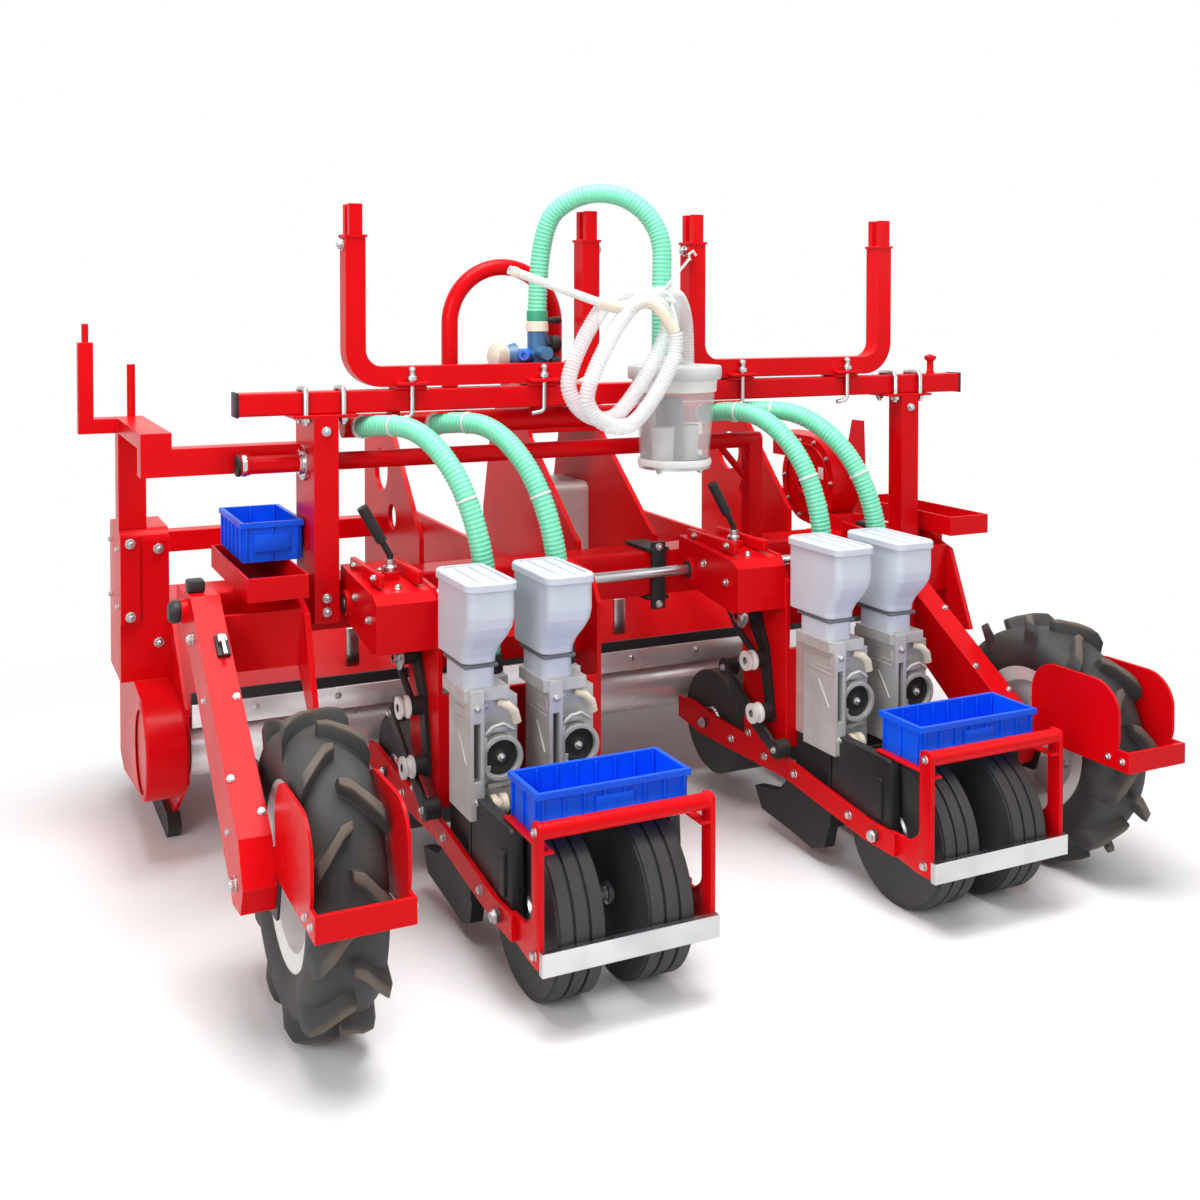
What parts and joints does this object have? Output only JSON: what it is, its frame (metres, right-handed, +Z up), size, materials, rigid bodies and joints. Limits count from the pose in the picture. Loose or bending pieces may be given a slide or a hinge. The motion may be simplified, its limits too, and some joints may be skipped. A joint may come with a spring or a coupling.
{
  "type": "precision seeder",
  "caption": "Tractor-mounted vacuum precision seeder with twin-row planting units, bed-forming tiller and roller, lugged drive wheels and forks for drip tape reels.",
  "frame": {"origin": "on the ground under the middle of the machine's box", "axes": "+X to the machine's right, +Y forward to the hitch, +Z up"},
  "size_m": [2.341, 1.718, 1.586],
  "materials": {
    "red_paint": "gloss",
    "black_plastic": "satin",
    "rubber": "matte",
    "tyre": "matte",
    "rim_white": "satin",
    "steel": "satin",
    "aluminium": "satin",
    "hopper_grey": "satin",
    "hose_green": "satin",
    "clear_plastic": "gloss",
    "bin_blue": "satin",
    "valve_blue": "satin",
    "white_plastic": "satin"
  },
  "bodies": {
    "frame": {"bins": "bin_blue", "bucket": "clear_plastic", "bucket_bracket": "steel", "bucket_lid": "white_plastic", "chain_case": "red_paint", "clear_hose": "clear_plastic", "coil_tie": "white_plastic", "cross_tube": "red_paint", "depth_cranks": "black_plastic", "gearbox": "aluminium", "gusset_plates": "red_paint", "handle_frames": "red_paint", "headstock": "red_paint", "hitch_ears": "red_paint", "hoppers": "hopper_grey", "hose_1": "hose_green", "hose_2": "hose_green", "hose_3": "hose_green", "hose_4": "hose_green", "hose_5": "hose_green", "lance": "white_plastic", "main_beam": "red_paint", "marker_arm": "red_paint", "meters": "aluminium", "openers": "black_plastic", "reel_forks": "red_paint", "roller_hoods": "black_plastic", "side_plates": "red_paint", "skid_shoes": "black_plastic", "step_bars": "aluminium", "tensioners": "black_plastic", "tiller_hood": "red_paint", "toolbar_posts": "red_paint", "trays": "red_paint", "unit_frames": "red_paint", "upper_toolbar": "red_paint", "vacuum_fan": "red_paint", "vacuum_manifold": "red_paint", "vacuum_valve": "valve_blue", "valve_hoop": "red_paint", "wheel_arm_left": "red_paint", "wheel_arm_right": "red_paint", "wheel_guards": "red_paint"},
    "wheel_left": {"tyre_left": "tyre", "rim_left": "rim_white"},
    "wheel_right": {"tyre_right": "tyre", "rim_right": "rim_white"},
    "press_left": {"press_rollers_left": "rubber"},
    "press_right": {"press_rollers_right": "rubber"},
    "front_left": {"front_rollers_left": "rubber"},
    "front_right": {"front_rollers_right": "rubber"},
    "bed_roller": {"bed_roller": "steel"},
    "tiller_rotor": {"tiller_rotor": "steel"},
    "drive_shaft": {"drive_shaft": "steel"},
    "lid_1": {"hopper_lid_1": "hopper_grey"},
    "lid_2": {"hopper_lid_2": "hopper_grey"},
    "lid_3": {"hopper_lid_3": "hopper_grey"},
    "lid_4": {"hopper_lid_4": "hopper_grey"}
  },
  "joints": [
    {"name": "wheel_left_spin", "type": "hinge", "parent": "frame", "child": "wheel_left", "pos_m": [-0.8555, -0.541, 0.28], "axis": [1, 0, 0], "continuous": true},
    {"name": "wheel_right_spin", "type": "hinge", "parent": "frame", "child": "wheel_right", "pos_m": [0.8945, -0.541, 0.28], "axis": [1, 0, 0], "continuous": true},
    {"name": "press_left_spin", "type": "hinge", "parent": "frame", "child": "press_left", "pos_m": [-0.3405, -0.611, 0.16], "axis": [1, 0, 0], "continuous": true},
    {"name": "press_right_spin", "type": "hinge", "parent": "frame", "child": "press_right", "pos_m": [0.5295, -0.611, 0.16], "axis": [1, 0, 0], "continuous": true},
    {"name": "front_left_spin", "type": "hinge", "parent": "frame", "child": "front_left", "pos_m": [-0.3405, 0.089, 0.2], "axis": [1, 0, 0], "continuous": true},
    {"name": "front_right_spin", "type": "hinge", "parent": "frame", "child": "front_right", "pos_m": [0.5295, 0.089, 0.2], "axis": [1, 0, 0], "continuous": true},
    {"name": "bed_roller_spin", "type": "hinge", "parent": "frame", "child": "bed_roller", "pos_m": [0.0945, 0.309, 0.255], "axis": [1, 0, 0], "continuous": true},
    {"name": "tiller_rotor_spin", "type": "hinge", "parent": "frame", "child": "tiller_rotor", "pos_m": [0.0945, 0.609, 0.3], "axis": [1, 0, 0], "continuous": true},
    {"name": "drive_shaft_spin", "type": "hinge", "parent": "frame", "child": "drive_shaft", "pos_m": [0.0945, -0.051, 0.641], "axis": [1, 0, 0], "continuous": true},
    {"name": "lid_1_lift", "type": "slide", "parent": "frame", "child": "lid_1", "axis": [0, 0, 1], "range_m": [0, 0.08]},
    {"name": "lid_2_lift", "type": "slide", "parent": "frame", "child": "lid_2", "axis": [0, 0, 1], "range_m": [0, 0.08]},
    {"name": "lid_3_lift", "type": "slide", "parent": "frame", "child": "lid_3", "axis": [0, 0, 1], "range_m": [0, 0.08]},
    {"name": "lid_4_lift", "type": "slide", "parent": "frame", "child": "lid_4", "axis": [0, 0, 1], "range_m": [0, 0.08]}
  ]
}
